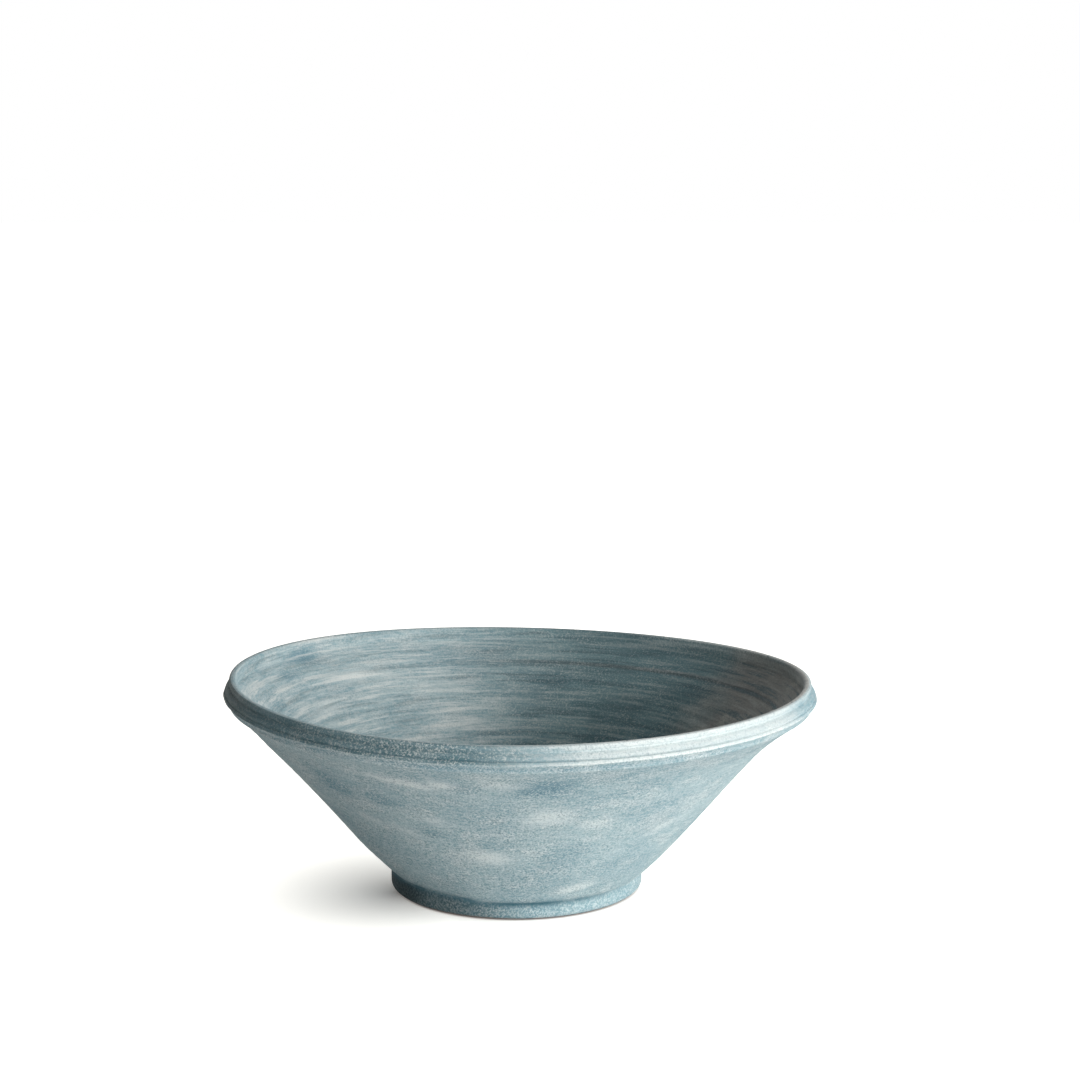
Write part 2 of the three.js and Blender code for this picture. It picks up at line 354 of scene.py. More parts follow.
def ramp(value, low, high):
    """0 below low, 1 above high, and a smooth cubic between."""
    t = np.clip((value - low) / (high - low), 0, 1)
    return t * t * (3 - 2 * t)


def hump(value, middle, width):
    """A bell curve, 1 at its middle and fading over width."""
    return np.exp(-(((value - middle) / width) ** 2))


def near(outline, spot, width):
    """A bell curve of the distance from a spot of the outline, as a column."""
    return np.exp(-((outline - np.array(spot)) ** 2).sum(1, keepdims=True) / width**2)


def facing(angle, side):
    """A side's strength times a ramp of the cosine of the angle between its direction and each point's."""
    direction, begins, complete, strength = SIDES[side]
    return strength * ramp(np.cos(angle - math.radians(direction)), begins, complete)


def slow_noise(rng, angle, along, around_waves, along_waves, count):
    """A sum of a few sine waves of random phase over the angle and the length along the outline."""
    total = np.zeros(np.broadcast(angle, along).shape)
    for _ in range(count):
        turns = rng.integers(1, around_waves + 1)
        waves = rng.uniform(-along_waves, along_waves)
        total += np.sin(turns * angle + 2 * math.pi * waves * along + rng.uniform(0, 2 * math.pi))
    return total / math.sqrt(count)


def rubbed_patches(angle, level, patches, slant=0.0):
    """The strongest of several soft ovals.

    Each is an angle and a height, a half width in degrees and a half height in millimetres, and a strength.
    It falls off as a bell curve of the distance in half sizes. Its middle line rises by slant for each
    degree, times the cosine of its angle, as far as two half widths out.
    """
    total = np.zeros(np.broadcast(angle, level).shape)
    for at, height, wide, tall, strength in patches:
        apart = angle - math.radians(at)
        across = np.degrees(np.arctan2(np.sin(apart), np.cos(apart)))
        middle = height * MM + slant * math.cos(math.radians(at)) * np.clip(across, -2 * wide, 2 * wide)
        upward = (level - middle) / (tall * MM)
        total = np.maximum(total, strength * np.exp(-((across / wide) ** 2 + upward**2)))
    return total


def mesh_piece(name, points, faces, smooth=True):
    """A mesh object from an array of points and a list of faces, at the origin."""
    mesh = bpy.data.meshes.new(name)
    mesh.from_pydata(points.reshape(-1, 3).tolist(), [], faces)
    mesh.polygons.foreach_set("use_smooth", np.full(len(mesh.polygons), smooth))
    mesh.update()
    piece = bpy.data.objects.new(name, mesh)
    bpy.context.scene.collection.objects.link(piece)
    return piece


def keep_value(piece, name, values):
    """Stores one number for each point of a piece, for its material to read."""
    layer = piece.data.attributes.new(name, "FLOAT", "POINT")
    layer.data.foreach_set("value", np.ascontiguousarray(values, np.float32).ravel())


def ring_faces(rows, columns, closed):
    """Quads of a grid whose rows run round the axis.

    Each joins a point, the next in its row, and the two above them. In a closed grid the last row meets the
    first.
    """
    row = np.arange(rows if closed else rows - 1)[:, None]
    column = np.arange(columns)[None, :]
    next_row, next_column = (row + 1) % rows, (column + 1) % columns
    corners = [
        row * columns + column,
        row * columns + next_column,
        next_row * columns + next_column,
        next_row * columns + column,
    ]
    return np.stack(corners, -1).reshape(-1, 4).tolist()


def pole_faces(rows, columns):
    """Fans of triangles from a grid's first and last row to two poles, whose points follow the grid's."""
    first = np.arange(columns)
    second = (first + 1) % columns
    count = rows * columns
    low_fan = np.stack([np.full(columns, count), second, first], 1)
    last_row = count - columns
    high_fan = np.stack([np.full(columns, count + 1), last_row + first, last_row + second], 1)
    return np.stack([low_fan, high_fan], 1).reshape(-1, 3).tolist()


def turned_piece(name, outline, columns, shape, centre=(0, 0)):
    """An outline turned round an upright axis and closed at both poles.

    Each point goes round on a circle of its radius: the cosine and sine of the angle times the radius. The
    shape function takes the grid's radius, angle and height and returns the radius and height changed.
    """
    rows = outline[1:-1]
    angle = np.linspace(0, 2 * math.pi, columns, endpoint=False) + np.zeros((len(rows), 1))
    radius, level = shape(rows[:, :1] + np.zeros_like(angle), angle, rows[:, 1:] + np.zeros_like(angle))
    ring = np.stack([radius * np.cos(angle), radius * np.sin(angle), level], -1).reshape(-1, 3)
    poles = np.array([(0, 0, outline[0, 1]), (0, 0, outline[-1, 1])])
    points = np.vstack([ring, poles]) + np.array([*centre, 0])
    return mesh_piece(name, points, ring_faces(len(rows), columns, False) + pole_faces(len(rows), columns))


def foot_outline():
    """Flat underside of the foot ring, its lower edge as an arc and its face as a curve up to the crease."""
    edge = (FOOT - FOOT_EDGE, UNDER + FOOT_EDGE)
    flat = np.array([(RING_INNER + RING_ROUND, UNDER), (edge[0], UNDER)])
    face = bezier((FOOT, edge[1]), (FOOT + 0.3 * MM, (edge[1] + CREASE) / 2 + 1 * MM),
                  (FOOT - FOOT_SWELL, CREASE - 0.6 * MM))
    return [(flat, 5), (arc(edge, FOOT_EDGE, -90, 0), 12), (face, 14)]


def wall_curve():
    """The outer wall as a cubic curve that spreads quickly over the foot and again under the rim."""
    low, high = (FOOT - FOOT_SWELL, CREASE), BAND_FOOT
    return bezier(low, (low[0] + WALL_LEAVES[0], low[1] + WALL_LEAVES[1]),
                  (high[0] - WALL_ARRIVES[0], high[1] - WALL_ARRIVES[1]), high, count=200)


def band_edge():
    """The rim band's thin edge, as an arc from its underside round to its sloping face."""
    return arc((RIM - BAND_EDGE, TOP - BAND_DROP), BAND_EDGE, -60, 45)


def band_face():
    """The band's sloping face, swelling a little from its edge in and up to the cove under the lip."""
    return swelling(band_edge()[-1], COVE, FACE_SWELL, count=FACE_STEPS + 1)


def line_bed():
    """The deepest point of the incised line: on the face, moved square into it."""
    face = band_face()
    at = round(LINE_SHARES[1] * FACE_STEPS)
    way = (face[at + 1] - face[at - 1]) / np.hypot(*(face[at + 1] - face[at - 1]))
    return face[at] + LINE_DEPTH * np.array([-way[1], way[0]])


def rim_outline():
    """The rim band and lip, from the wall's end to the lip's inner edge.

    In turn: the band's hollow underside, its edge, its face with a line cut into it by two hollow curves,
    the cove, and a flat-topped lip whose two corners are quarter circles of their own radii.
    """
    edge, face, bed = band_edge(), band_face(), line_bed()
    start, _, end = [round(share * FACE_STEPS) for share in LINE_SHARES]
    cut = np.vstack([swelling(face[start], bed, LINE_HOLLOW), swelling(bed, face[end], LINE_HOLLOW)[1:]])
    side = (LIP_OUTER, LIP_SIDE)
    cove = bezier(COVE, (COVE[0] - 0.3 * MM, COVE[1] + 1.2 * MM),
                  (side[0] - 1 * MM, side[1] - 0.7 * MM), side)
    lip = np.vstack([
        [side],
        arc((LIP_OUTER - LIP_ROUND, TOP - LIP_ROUND), LIP_ROUND, 0, 90),
        arc((LIP_OUTER - LIP_THICKNESS + LIP_INNER_ROUND, TOP - LIP_INNER_ROUND), LIP_INNER_ROUND, 90, 180),
    ])
    return [
        (swelling(BAND_FOOT, edge[0], BAND_HOLLOW), 6),
        (edge, 8),
        (face[:start + 1], 3),
        (cut, 9),
        (face[end:], 11),
        (cove, 6),
        (lip, 16),
    ]


def inside_outline(wall):
    """The inner wall, one thickness inside the outer wall, then a fillet on to the flat floor.

    The fillet is a quadratic curve whose control point is where the wall's slope would meet the floor.
    """
    inner = parallel(wall, WALL)[::-1]
    kept = inner[inner[:, 1] > FLOOR + FILLET / 2]
    last, before = kept[-1], kept[-2]
    spread = (before[0] - last[0]) / (before[1] - last[1])
    corner = np.array([last[0] - (last[1] - FLOOR) * spread, FLOOR])
    fillet = bezier(last, corner, (corner[0] - FILLET, FLOOR))
    floor = np.array([(corner[0] - FILLET, FLOOR), (DRAIN + DRAIN_CHAMFER, FLOOR)])
    return [(kept, 84), (fillet, 14), (floor, 6)]


def underside_outline():
    """Straight lines down the drain hole and along the hollow's ceiling, and a cubic curve down its side."""
    hole = np.array([
        (DRAIN + DRAIN_CHAMFER, FLOOR),
        (DRAIN, FLOOR - DRAIN_CHAMFER),
        (DRAIN, HOLLOW + DRAIN_BREAK),
        (DRAIN + DRAIN_BREAK, HOLLOW),
    ])
    ceiling = np.array([hole[-1], (RING_INNER - HOLLOW_DRAFT - 3 * MM, HOLLOW)])
    side = bezier(ceiling[1], (RING_INNER - HOLLOW_DRAFT, HOLLOW), (RING_INNER - 0.5 * MM, UNDER + 1 * MM),
                  (RING_INNER + RING_ROUND, UNDER))
    return [(hole, 7), (ceiling, 5), (side, 6)]


def bowl_parts(outline):
    """How far each point of the bowl's outline belongs to each of its parts, as columns of 0 to 1.

    The outline climbs the outside from under the foot, crosses the crest and comes down the inside, so the
    points before and after the crest are the outside and the inside. The rest are ramps of height or radius.
    """
    radius, level = outline[:, :1], outline[:, 1:]
    order = np.arange(len(outline))[:, None]
    crest = np.argmax(level)
    outside = (order < crest).astype(float)
    inside = ((order > crest) & (level > FLOOR - 0.5 * MM)).astype(float)
    wall = outside * ramp(level, CREASE + 6 * MM, CREASE + 30 * MM)
    under_foot = (level < UNDER + 0.3 * MM) | ((radius < RING_INNER + 3 * MM) & (level < FLOOR - 2 * MM))
    return {
        "outside": outside,
        "inside": inside,
        "above_crease": outside * (level > CREASE),
        "foot": outside * (1 - ramp(level, CREASE - 2 * MM, CREASE)),
        "foot_edge": outside * (1 - ramp(level, UNDER + 0.5 * MM, UNDER + 1.8 * MM)),
        "wall": wall * (1 - ramp(level, TOP - 34 * MM, TOP - 26 * MM)),
        "under_band": outside * hump(level, TOP - 20 * MM, 3 * MM),
        "band": outside * ramp(level, TOP - BAND_DROP - 0.5 * MM, TOP - BAND_DROP + 0.5 * MM),
        "inner_wall": inside * ramp(radius, 0.03, 0.06),
        "high_inside": inside * ramp(radius, 0.08, 0.17),
        "unwashed": under_foot.astype(float),
    }


def potters_hand(x, y, z):
    """Leans the thrown body over its flat foot and lets the rim rise and fall.

    Each height of the body is moved sideways as a whole, and tilts by an amount that grows from nothing at
    the foot to all of the lean a little way up the wall. The rim's rise is a cosine and a sine of twice the
    angle. The crease is pushed up on the outside of the foot's left, by ramps of height, radius and side.
    """
    angle = np.arctan2(y, x)
    radius = np.hypot(x, y)
    lean = ramp(z, *LEAN_HEIGHTS) * (x * LEAN_RIGHT + y * LEAN_BACK)
    flare = ramp(z, *RISE_HEIGHTS) * ramp(radius, *RISE_RADII)
    rise = RIM_RISE * np.cos(2 * angle) + RIM_TWIST * np.sin(2 * angle)
    shift = sum(size * MM * ramp(z, low * MM, high * MM) for low, high, size in SHIFTS_RIGHT)
    push = ramp(z, UNDER + FOOT_EDGE, CREASE - 1 * MM) * (1 - ramp(z, CREASE + 1 * MM, CREASE + CREASE_FADE))
    push *= ramp(radius, FOOT - WALL / 2, FOOT - 2 * MM) * facing(angle, "high_crease")
    lifted = z - lean + flare * rise + CREASE_RISE * push
    return x + shift, y + SHIFT_BACK * ramp(z, CREASE, TOP), lifted


def clay_marks(outline, part, along, angle, rings):
    """The numbers that the clay's material reads at each point of the bowl.

    They say where the point lies along the outline, and how strongly each mark of making and of wear shows
    there: a part of the outline times a side of the bowl, or the hand-rubbed patches. Some are wholly or
    partly
    painted light: shade on the foot's left, in the crease, on the band's left, under the band and on the
    inside's back right, and highlights on the bead and lip on the lit right.
    """
    level = outline[:, 1:]
    # Painted shade on the foot's left, the side away from the light
    shade = facing(angle, "shaded_foot") + facing(angle, "darkest_foot")
    crease = near(outline, (FOOT - FOOT_SWELL, CREASE), width=3.2 * MM)
    line = near(outline, line_bed(), width=0.9 * MM)
    bead = near(outline, (RIM, TOP - BAND_DROP + 0.4 * MM), width=0.9 * MM)
    lip = near(outline, (LIP_OUTER - LIP_THICKNESS / 2, TOP), width=4 * MM)
    stipple = np.where(part["outside"] > 0, STIPPLE_OUTSIDE + facing(angle, "stippled"), STIPPLE_INSIDE)
    stipple *= 1 - part["band"] * facing(angle, "smooth_left")
    stipple *= 1 - np.maximum(part["band"], part["foot"]) * facing(angle, "smooth_right")
    # Painted shade over the dark wash on the band's left
    behind = angle < math.radians(SIDES["shaded_band"][0])
    dark = np.where(behind, facing(angle, "shaded_band_behind"), facing(angle, "shaded_band"))
    pale = part["above_crease"] * rubbed_patches(angle, level, PALE_PATCHES, PATCH_SLANT)
    pale += part["inside"] * rubbed_patches(angle, level, INNER_PALE_PATCHES)
    dusk_and_shade = part["above_crease"] * rubbed_patches(angle, level, DUSK_PATCHES, PATCH_SLANT)
    dusk_and_shade += part["inside"] * rubbed_patches(angle, level, INNER_DUSK_PATCHES)
    dusk_and_shade += part["band"] * facing(angle, "dusky_band")
    # Painted shade in the strip under the band, left off on the lit right
    dusk_and_shade += SHADE_UNDER_BAND * part["under_band"] * (1 - facing(angle, "lit_under_band"))
    return {
        "along": along,
        "level": level,
        "inside": part["inside"],
        "foot": part["foot"] * (1 - facing(angle, "clear_foot")),
        "foot_shade": part["foot"] * shade,
        "raw_edge": part["foot_edge"] * (1 - facing(angle, "washed_edge")),
        # wash in the crease, with painted shade on its front and left
        "crease": crease * facing(angle, "crease_wash_and_shade"),
        "line": line * facing(angle, "deep_line"),
        # pale bead and lip: wear, and a painted highlight on the lit right
        "bead": bead * facing(angle, "bead_wear_and_highlight"),
        "lip": lip * facing(angle, "lip_wear_and_highlight"),
        "stipple": stipple,
        "band_dark_and_shade": part["band"] * dark,
        # painted brown-grey shade at the band's far left
        "band_brown_shade": part["band"] * facing(angle, "brown_shaded_band"),
        "band_pale": part["band"] * facing(angle, "pale_band"),
        "pale": pale,
        "dusk_and_shade": dusk_and_shade,
        "bare_inside": part["high_inside"] * facing(angle, "bare_inside"),
        # painted shade on the inside's back right
        "painted_shade_inside": part["high_inside"] * facing(angle, "painted_shade_inside"),
        "ring": rings * part["inside"],
        "under": part["unwashed"],
    }


def make_bowl():
    """The fired bowl: its outline turned round the axis, ringed by throwing and leant by the potter's hand.

    Rings stand out from the surface along the outline's own outward direction. Their height is a sine of the
    length along the outline plus a slow drift round the bowl, so that they wander as finger marks do. A slow
    swell lies under them, and the band's edge is uneven in many short waves.
    """
    rng = np.random.default_rng(SEED)
    wall = wall_curve()
    sections = foot_outline() + [(wall, 62)] + rim_outline() + inside_outline(wall) + underside_outline()
    outline = join(sections)
    out = square_to(outline)
    part = bowl_parts(outline)
    along = lengths(np.vstack([outline, outline[:1]]))[:-1, None]
    angle = np.linspace(0, 2 * math.pi, AROUND, endpoint=False)[None, :]
    drift = slow_noise(rng, angle, along, around_waves=3, along_waves=4, count=6)
    swell = slow_noise(rng, angle, along, around_waves=5, along_waves=9, count=8)
    nicks = slow_noise(rng, angle, along, around_waves=40, along_waves=30, count=24)
    rings = np.sin(2 * math.pi * along / RING_PITCH + angle + RING_WANDER * drift) * (0.6 + 0.4 * swell)
    height = RING_DEPTH * rings * (RINGS_OUTSIDE * part["wall"] + part["inner_wall"])
    height += SWELL_DEPTH * swell * (part["wall"] + part["inner_wall"])
    edge = part["outside"] * hump(outline[:, 1:], TOP - BAND_DROP, NICK_WIDTH)
    height += edge * NICK_DEPTH * nicks * facing(angle, "nicked_edge")
    radius = outline[:, :1] + out[:, :1] * height
    level = outline[:, 1:] + out[:, 1:] * height
    points = np.stack(potters_hand(radius * np.cos(angle), radius * np.sin(angle), level), -1)
    bowl = mesh_piece("thrown_bowl", points, ring_faces(len(outline), AROUND, True))
    for name, values in clay_marks(outline, part, along, angle, rings).items():
        keep_value(bowl, name, values + np.zeros_like(level))
    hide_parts("bowl")
    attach(bowl, "bowl")
    return bowl


def plug_outline():
    """The stopper from its lower pole to its upper one.

    In turn: a flat end, a tapered stem whose two sealing ribs are bell curves, the flange's underside, its
    edge as half a circle, its moulded ring with a step down, and a neck and mushroom grip as cubic curves.
    """
    outer, low, high = PLUG_HIGH.x, PLUG_LOW.z, PLUG_HIGH.z
    sunk = FLANGE_TOP - FLANGE_STEP
    share = np.linspace(0, 1, 30)
    ribs = RIB_HEIGHT * hump(share[:, None], np.array(RIB_SHARES), RIB_WIDTH).sum(1)
    stem = np.stack([STEM - (1 - share) * STEM_TAPER + ribs * (share < 0.95),
                     low + STEM_ROUND + share * (FLANGE - low - STEM_ROUND)], 1)
    end = stem[0, 0] - STEM_ROUND
    sections = [
        (np.array([(0, low), (end, low)]), 6),
        (bezier((end, low), (stem[0, 0], low), stem[0]), 5),
        (stem, 30),
        (np.array([stem[-1], (outer - FLANGE_ROUND, FLANGE)]), 6),
        (arc((outer - FLANGE_ROUND, FLANGE + FLANGE_ROUND), FLANGE_ROUND, -90, 90), 10),
        (bezier((outer - FLANGE_ROUND, FLANGE_TOP), (outer - 3.5 * MM, FLANGE_TOP), (outer - 4 * MM, sunk),
                (outer - 5 * MM, sunk)), 6),
        (np.array([(outer - 5 * MM, sunk), (NECK + 5 * MM, sunk)]), 5),
        (bezier((NECK + 5 * MM, sunk), (NECK + 1 * MM, sunk), (NECK, FLANGE_TOP + 1 * MM),
                (NECK, FLANGE_TOP + 5 * MM)), 12),
        (bezier((NECK, FLANGE_TOP + 5 * MM), (GRIP * 1.2, FLANGE_TOP + 6.5 * MM), (GRIP, high),
                (0, high)), 22),
    ]
    return np.vstack([join(sections), [[0, high]]])


def make_plug():
    """The rubber stopper, turned from its outline, with the seam of its mould down two sides."""

    def moulded(radius, angle, level):
        """Where the halves of the mould met, the radius grows by a bell curve of the angle's sine."""
        seam = hump(np.sin(angle), 0, SEAM_WIDTH) * (level > FLANGE_TOP - 1 * MM) * (radius > 1.5 * MM)
        return radius + SEAM_HEIGHT * seam, level

    plug = turned_piece("rubber_plug", plug_outline(), PLUG_AROUND, moulded)
    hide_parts("drain_plug")
    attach(plug, "plug")
    return plug


def make_pad(node, index):
    """A felt disc, turned from an outline with two rounded edges, with a fine uneven nap on its side."""
    low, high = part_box(node)
    radius = (high.x - low.x) / 2
    flat = radius - PAD_ROUND
    outline = np.vstack([join([
        (np.array([(0, low.z), (flat, low.z)]), 12),
        (arc((flat, low.z + PAD_ROUND), PAD_ROUND, -90, 0), 5),
        (arc((flat, high.z - PAD_ROUND), PAD_ROUND, 0, 90), 5),
        (np.array([(flat, high.z), (0, high.z)]), 6),
    ]), [[0, high.z]]])
    rng = np.random.default_rng(SEED + index)

    def napped(pad_radius, angle, level):
        """Fibres draw the side in by hundredths of a millimetre, in many short waves."""
        nap = slow_noise(rng, angle, pad_radius / radius, around_waves=40, along_waves=14, count=24)
        return pad_radius - NAP * np.abs(nap), level

    centre = ((low.x + high.x) / 2, (low.y + high.y) / 2)
    pad = turned_piece("felt_" + node, outline, PAD_AROUND, napped, centre)
    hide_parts(node)
    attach(pad, "bowl")
    return pad


class Nodes:
    """A short way to add nodes to a material or a group and to join their sockets."""

    def __init__(self, tree):
        self.tree = tree
        self.count = 0

    def add(self, kind, **settings):
        """A new node with its settings, placed in rows of eight."""
        node = self.tree.nodes.new(kind)
        node.location = (220 * (self.count % 8), -260 * (self.count // 8))
        self.count += 1
        for key, value in settings.items():
            setattr(node, key, value)
        return node

    def put(self, socket, value):
        """Joins an output to a socket, or sets the socket to a plain value."""
        if isinstance(value, bpy.types.NodeSocket):
            self.tree.links.new(value, socket)
        elif value is not None:
            socket.default_value = value

    def work_out(self, operation, a, b=None, c=None):
        """One step of arithmetic on numbers."""
        node = self.add("ShaderNodeMath", operation=operation)
        for socket, value in zip(node.inputs, (a, b, c)):
            self.put(socket, value)
        return node.outputs[0]

    def times(self, a, b):
        """One number times another."""
        return self.work_out("MULTIPLY", a, b)

    def vector(self, operation, a, b=None, scale=None):
        """One step of arithmetic on vectors, with its node's outputs."""
        node = self.add("ShaderNodeVectorMath", operation=operation)
        self.put(node.inputs[0], a)
        self.put(node.inputs[1], b)
        if scale is not None:
            self.put(node.inputs["Scale"], scale)
        return node.outputs

    def fit(self, value, span, to=(0.0, 1.0), smooth=True):
        """Maps value from one span to another, clamped, by a smooth cubic or a straight line."""
        node = self.add("ShaderNodeMapRange", clamp=True)
        node.interpolation_type = "SMOOTHSTEP" if smooth else "LINEAR"
        for key, item in zip(("Value", "From Min", "From Max", "To Min", "To Max"), (value, *span, *to)):
            self.put(node.inputs[key], item)
        return node.outputs["Result"]

    def mix(self, amount, a, b):
        """Mixes two colours by an amount from 0 to 1."""
        node = self.add("ShaderNodeMix", data_type="RGBA", clamp_factor=True)
        self.put(node.inputs["Factor"], amount)
        self.put(node.inputs[6], a)
        self.put(node.inputs[7], b)
        return node.outputs[2]

    def lay(self, under, over, mask, amount):
        """Lays one colour over another where a mask is 1, as thickly as the amount says."""
        return self.mix(self.times(mask, amount), under, over)

    def ragged(self, value, noise, strength, span):
        """A mask from a smooth value with a noise added, so that its edge is ragged."""
        centred = self.work_out("SUBTRACT", noise, 0.5)
        return self.fit(self.work_out("MULTIPLY_ADD", centred, strength, value), span)

    def read(self, name):
        """A piece's own stored number."""
        return self.add("ShaderNodeAttribute", attribute_name=name, attribute_type="GEOMETRY").outputs["Fac"]

    def place(self):
        """Where on its piece a point lies."""
        return self.add("ShaderNodeTexCoord").outputs["Object"]

    def noise(self, vector, scale, detail, roughness, distortion=0.0):
        """A cloudy noise of about 0.5 on average."""
        node = self.add("ShaderNodeTexNoise", noise_dimensions="3D")
        self.put(node.inputs["Vector"], vector)
        for key, item in zip(("Scale", "Detail", "Roughness", "Distortion"),
                             (scale, detail, roughness, distortion)):
            self.put(node.inputs[key], item)
        return node.outputs["Fac"]

    def use(self, group, **values):
        """Places a group with its inputs set by name, and gives its outputs."""
        node = self.add("ShaderNodeGroup")
        node.node_tree = group
        for key, item in values.items():
            self.put(node.inputs[key], item)
        return node.outputs

    def roughen(self, shader, height, distance, strength=1.0):
        """Bumps a shader's surface by a height, whose 1 stands for a distance."""
        bump = self.add("ShaderNodeBump")
        bump.inputs["Distance"].default_value = distance
        bump.inputs["Strength"].default_value = strength
        self.put(bump.inputs["Height"], height)
        self.put(shader.inputs["Normal"], bump.outputs["Normal"])


def new_group(name, inputs, outputs):
    """An empty shader group with named number inputs and outputs, and its input and output nodes."""
    group = bpy.data.node_groups.new(name, "ShaderNodeTree")
    for key, default in inputs.items():
        socket = group.interface.new_socket(key, in_out="INPUT", socket_type="NodeSocketFloat")
        socket.default_value = default
    for key in outputs:
        group.interface.new_socket(key, in_out="OUTPUT", socket_type="NodeSocketFloat")
    nodes = Nodes(group)
    return group, nodes, nodes.add("NodeGroupInput").outputs, nodes.add("NodeGroupOutput").inputs


def round_the_bowl(nodes, around, up, shift):
    """A noise place that closes on itself round the bowl.

    The direction from the axis is stretched to a circle of radius around, and the length along the outline
    becomes the height, times up. The shift moves the pattern to another part of the noise.
    """
    split = nodes.add("ShaderNodeSeparateXYZ")
    nodes.put(split.inputs[0], nodes.place())
    flat = nodes.add("ShaderNodeCombineXYZ")
    nodes.put(flat.inputs[0], split.outputs[0])
    nodes.put(flat.inputs[1], split.outputs[1])
    direction = nodes.vector("NORMALIZE", flat.outputs[0])[0]
    wide = nodes.vector("SCALE", direction, scale=around)[0]
    lifted = nodes.add("ShaderNodeCombineXYZ")
    nodes.put(lifted.inputs[2], nodes.work_out("MULTIPLY_ADD", nodes.read("along"), up, shift))
    return nodes.vector("ADD", wide, lifted.outputs[0])[0]


def make_wash_noise():
    """Group: a noise on the turned surface, drawn out round the bowl, and a mask of its high places."""
    group, nodes, given, result = new_group(
        "wash_noise",
        {"Around": 8.0, "Up": 60.0, "Shift": 0.0, "Detail": 3.0, "Rough": 0.55, "Low": 0.4, "High": 0.6},
        ["Mask", "Raw"],
    )
    place = round_the_bowl(nodes, given["Around"], given["Up"], given["Shift"])
    raw = nodes.noise(place, 1.0, given["Detail"], given["Rough"])
    nodes.put(result["Mask"], nodes.fit(raw, (given["Low"], given["High"])))
    nodes.put(result["Raw"], raw)
    return group


def new_material(name):
    """An empty material with its nodes and its shader."""
    material = bpy.data.materials.new(name)
    material.use_nodes = True
    return material, Nodes(material.node_tree), material.node_tree.nodes["Principled BSDF"]


def wash_all_over(nodes, mask, raw):
    """The wash's layers in turn, then the hand-rubbed patches, whose dark layer also lays the painted shade
    under the rim band.
    """
    colour = WASH
    for name, wash, amount in WASH_LAYERS:
        colour = nodes.lay(colour, wash, mask[name], amount)
    # The dark rubbed patches, with the painted shade under the band
    dark = nodes.ragged(nodes.read("dusk_and_shade"), raw["strokes"], 0.9, (0.05, 0.95))
    colour = nodes.lay(colour, DARK_RUB_AND_SHADE, dark, 0.85)
    pale = nodes.ragged(nodes.read("pale"), raw["strokes"], 0.9, (0.05, 0.9))
    return nodes.lay(colour, PALE_RUB, pale, 0.9)


def wash_inside(nodes, colour, mask, raw):
    """The inside: darker wash in the rings' grooves, painted shade on the back right, which faces away from
    the light, with one turned line there, bare clay at the right, and dark streaks and pale smears drawn out
    round the bowl, the pale ones fainter in the painted shade."""
    # dim says how strongly the painted shade lies on the inside's back right
    inside, dim = nodes.read("inside"), nodes.read("painted_shade_inside")
    colour = nodes.lay(colour, DUSK, nodes.fit(nodes.read("ring"), (0.1, -0.9)), 0.3)
    # Painted shade over the back right inside
    inside_shade = nodes.lay(INSIDE_SHADE_LIGHT, INSIDE_SHADE_DEEP, mask["clouds"], 0.7)
    colour = nodes.lay(colour, inside_shade, dim, 0.85)
    bare = nodes.ragged(nodes.read("bare_inside"), raw["clouds"], 1.0, (0.1, 0.9))
    colour = nodes.lay(colour, nodes.mix(mask["haze"], EARTH_DARK, EARTH_PALE), bare, 0.85)
    from_line = nodes.work_out("ABSOLUTE", nodes.work_out("SUBTRACT", nodes.read("level"), INNER_LINE))
    line = nodes.times(nodes.fit(from_line, (3 * MM, 0.5 * MM)), dim)
    colour = nodes.lay(colour, INNER_LINE_DARK, line, 0.6)
    streak = nodes.times(inside, nodes.fit(raw["arcs"], (0.5, 0.34)))
    colour = nodes.lay(colour, INNER_STREAK, streak, nodes.fit(dim, (0.0, 1.0), to=(0.35, 0.7)))
    smear = nodes.times(inside, nodes.fit(raw["arcs"], (0.5, 0.66)))
    return nodes.lay(colour, CHALK, smear, nodes.fit(dim, (0.0, 0.7), to=(0.6, 0.2)))


def wash_band(nodes, colour, raw):
    """The rim band: dark wash on the left, deepened there as painted shade away from the light, painted
    brown-grey shade at the far left, and pale right of the front.
    """
    # Dark wash and painted shade on the band's left
    dark = nodes.ragged(nodes.read("band_dark_and_shade"), raw["specks"], 1.4, (0.05, 0.85))
    dark = nodes.times(dark, nodes.fit(raw["strokes"], (0.38, 0.62), to=(1.0, 0.66)))
    colour = nodes.lay(colour, BAND_DARK_AND_SHADE, dark, 0.9)
    # Painted brown-grey shade at the band's far left
    colour = nodes.lay(colour, BAND_BROWN_SHADE, nodes.read("band_brown_shade"), 0.5)
    pale = nodes.ragged(nodes.read("band_pale"), raw["strokes"], 1.2, (0.2, 1.0))
    return nodes.lay(colour, CHALK, pale, 0.5)


